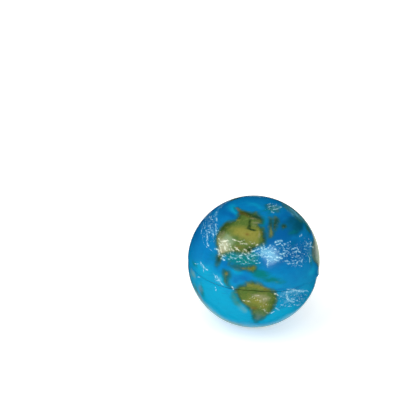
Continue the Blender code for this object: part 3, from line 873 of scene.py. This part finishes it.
def pale_surface(name, tones, glow, solid=None):
    """A plain pale surface that shines faintly. solid names the field that it fades out by."""
    p = Paint(name)
    dark, light = (shade(*tone) for tone in tones)
    colour = p.mix(p.noise(60.0, 2), dark, light)
    grain = p.bump(p.noise(2.0, 2), 0.01 * MM, 0.2)
    if solid:
        p.put(p.shader.inputs["Alpha"], p.field(solid))
    return p.finish(colour, 0.6, grain, Emission_Color=light, Emission_Strength=glow)


# --- stage ---
BALL_ACROSS = 0.1342         # the ball's centre right of the frame's, as a share of the frame's width
BALL_DOWN = 0.1537           # and below it
BALL_SIZE = 0.165            # the ball's radius as a share of the frame's width
CAMERA_ELEVATION = 27.0      # degrees above the table
CAMERA_ROLL = 5.0            # the ball leans this much to the right
CAMERA_DISTANCE = 31.2       # in ball radii
CAMERA_RANGE = (0.05, 20.0)
# corners of the white card on the table, in ball radii: under the ball, and out behind it on the right
CARD = [
    (0, -0.6), (0.8, -0.3), (1.2, 0.5), (1.8, 1.9), (4.5, 3.2), (4.5, 6), (1.2, 5.5), (-0.4, 2.2),
    (-1.1, 1.4), (-1.2, 0.4), (-0.8, -0.3),
]
CARD_EDGE = (0.94, 1.05)     # the card fades out between these shares of its outline
CARD_TONES = [(224, 234, 208), (236, 244, 218)]
CARD_GLOW = 0.30
CARD_DROP = 0.02 * MM        # below the ball, but above the table
STAGE_TONES = [(243, 244, 245), (248, 248, 248)]
STAGE_SIDES = 64
TABLE_GLOW = 0.5
TABLE_RADIUS = 6.0
TABLE_DROP = 0.05 * MM       # keeps the table from sharing a plane with the ball's resting patch
WALL_GLOW = 1.0
WALL_RADIUS = 3.5            # near enough for every camera's range
WALL_HEIGHT = 10.0
# soft lights that show as highlights, as (name, where on the ball to the right and up as the camera sees
# it, in ball radii, radiance, width in metres, tilt in degrees)
SOFTBOXES = [("key", 0.25, 0.10, 5.6, 0.27, 18), ("fill", -0.42, 0.235, 5.5, 0.24, 10)]
SOFTBOX_DISTANCE = 0.6
SOFTBOX_COLOUR = (0.78, 1.0, 0.96)
WASH_PLACE = (-0.4, -0.7, 1.1)
WASH_SIZE = 1.2
WASH_POWER = 11.0            # watts
SKY_STRENGTH = 0.55
SKY = [(0.0, (0.88, 0.88, 0.88, 1)), (0.9, (1.0, 1.0, 1.0, 1))]   # level and overhead


def add_camera():
    data = bpy.data.cameras.new("camera")
    camera = put_in_scene(bpy.data.objects.new("camera", data))
    focal = BALL_SIZE * math.sqrt(CAMERA_DISTANCE ** 2 - 1)
    data.lens = focal * data.sensor_width
    data.clip_start, data.clip_end = CAMERA_RANGE
    e = math.radians(CAMERA_ELEVATION)
    outward = Vector((0.0, -math.cos(e), math.sin(e)))
    camera.location = CENTRE + outward * CAMERA_DISTANCE * RADIUS
    seen = Vector((BALL_ACROSS / focal, -BALL_DOWN / focal, -1.0)).normalized()
    aside = Vector((0.0, 0.0, -1.0)).rotation_difference(seen)
    roll = Quaternion((0.0, 0.0, 1.0), math.radians(CAMERA_ROLL))
    camera.rotation_mode = "QUATERNION"
    camera.rotation_quaternion = (-outward).to_track_quat("-Z", "Y") @ roll @ aside.inverted()
    bpy.context.scene.camera = camera
    return camera


def area_light(name, place, size, power):
    """A square lamp that faces the ball and is hidden from the camera."""
    data = bpy.data.lights.new(name, "AREA")
    data.shape = "SQUARE"
    data.size = size
    data.energy = power
    lamp = put_in_scene(bpy.data.objects.new(name, data))
    lamp.location = place
    lamp.rotation_mode = "QUATERNION"
    lamp.rotation_quaternion = (CENTRE - lamp.location).to_track_quat("-Z", "Y")
    lamp.visible_camera = False
    return lamp


def softbox(camera, name, right, up, radiance, size, tilt):
    """A square light whose reflection sits at (right, up) on the ball."""
    normal = Vector((right, up, math.sqrt(1 - right ** 2 - up ** 2)))
    back = (camera.location - CENTRE).normalized()
    level = Vector((0.0, 0.0, 1.0)).cross(back).normalized()
    over = back.cross(level)
    facing = level * normal.x + over * normal.y + back * normal.z
    towards = 2 * facing.dot(back) * facing - back
    place = CENTRE + towards * SOFTBOX_DISTANCE
    lamp = area_light(name, place, size, radiance * math.pi * size ** 2)
    lamp.data.color = SOFTBOX_COLOUR
    lamp.rotation_quaternion = lamp.rotation_quaternion @ Quaternion((0, 0, 1), math.radians(tilt))
    lamp.visible_diffuse = False


def add_wash():
    """A wide soft light overhead, in front and to the left. It shapes the ball but isn't mirrored in it."""
    area_light("wash", WASH_PLACE, WASH_SIZE, WASH_POWER).visible_glossy = False


def add_surroundings():
    """A pale studio: even light from above, a little darker low down."""
    world = bpy.data.worlds.new("studio")
    bpy.context.scene.world = world
    world.use_nodes = True
    nodes, links = world.node_tree.nodes, world.node_tree.links
    place = nodes.new("ShaderNodeTexCoord")
    split = nodes.new("ShaderNodeSeparateXYZ")
    ramp = nodes.new("ShaderNodeValToRGB")
    links.new(place.outputs["Generated"], split.inputs[0])
    links.new(split.outputs["Z"], ramp.inputs["Fac"])
    for stop, (height, colour) in zip(ramp.color_ramp.elements, SKY):
        stop.position = height
        stop.color = colour
    links.new(ramp.outputs["Color"], nodes["Background"].inputs["Color"])
    nodes["Background"].inputs["Strength"].default_value = SKY_STRENGTH
    world.cycles_visibility.glossy = False


def add_table():
    """The table, and a white wall round it that shows behind a low camera but lights nothing."""
    bpy.ops.mesh.primitive_circle_add(
        vertices=STAGE_SIDES, radius=TABLE_RADIUS, fill_type="NGON", location=(0, 0, -TABLE_DROP))
    table = bpy.context.object
    table.name = "table"
    table.data.materials.append(pale_surface("table_top", STAGE_TONES, TABLE_GLOW))
    bpy.ops.mesh.primitive_cylinder_add(
        vertices=STAGE_SIDES, radius=WALL_RADIUS, depth=WALL_HEIGHT, end_fill_type="NOTHING")
    wall = bpy.context.object
    wall.name = "wall"
    wall.data.materials.append(pale_surface("wall_paint", STAGE_TONES, WALL_GLOW))
    table.visible_glossy = False
    wall.visible_glossy = False
    wall.visible_diffuse = False
    wall.visible_shadow = False


def add_reflector():
    """A white card on the table that shows only as the pale glow along the ball's lower and right edges."""
    outline = np.array(CARD) * RADIUS
    middle = outline.mean(0)
    count = len(CARD)
    corners = np.concatenate([middle + (outline - middle) * share for share in CARD_EDGE])
    faces = [tuple(range(count))]
    faces += [(i, count + i, count + (i + 1) % count, (i + 1) % count) for i in range(count)]
    mesh = bpy.data.meshes.new("reflector")
    mesh.from_pydata([(x, y, -CARD_DROP) for x, y in corners], [], faces)
    solid = mesh.attributes.new("solid", "FLOAT", "POINT")
    solid.data.foreach_set("value", [1.0] * count + [0.0] * count)
    card = put_in_scene(bpy.data.objects.new("reflector", mesh))
    card.data.materials.append(pale_surface("card", CARD_TONES, CARD_GLOW, "solid"))
    card.visible_camera = False
    card.visible_diffuse = False
    card.visible_shadow = False


def main():
    scene = bpy.context.scene
    scene.view_settings.view_transform = "Standard"
    noise.seed_set(WANDER_SEED)
    north, south = make_films()
    film = printed_film()
    weld, foam = make_weld(), make_foam()
    dressed = (
        (north, film, "north_skin", "film_north"),
        (south, film, "south_skin", "film_south"),
        (weld, melted_film(), "seam_weld", "fused_film"),
        (foam, open_foam(), "foam_core", "foam"),
    )
    for piece, material, node, slot in dressed:
        piece.data.materials.append(material)
        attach(piece, SQUEEZE["parent"])
        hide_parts(node)
        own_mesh(piece)
    camera = add_camera()
    for light in SOFTBOXES:
        softbox(camera, *light)
    add_wash()
    add_surroundings()
    add_table()
    add_reflector()


main()
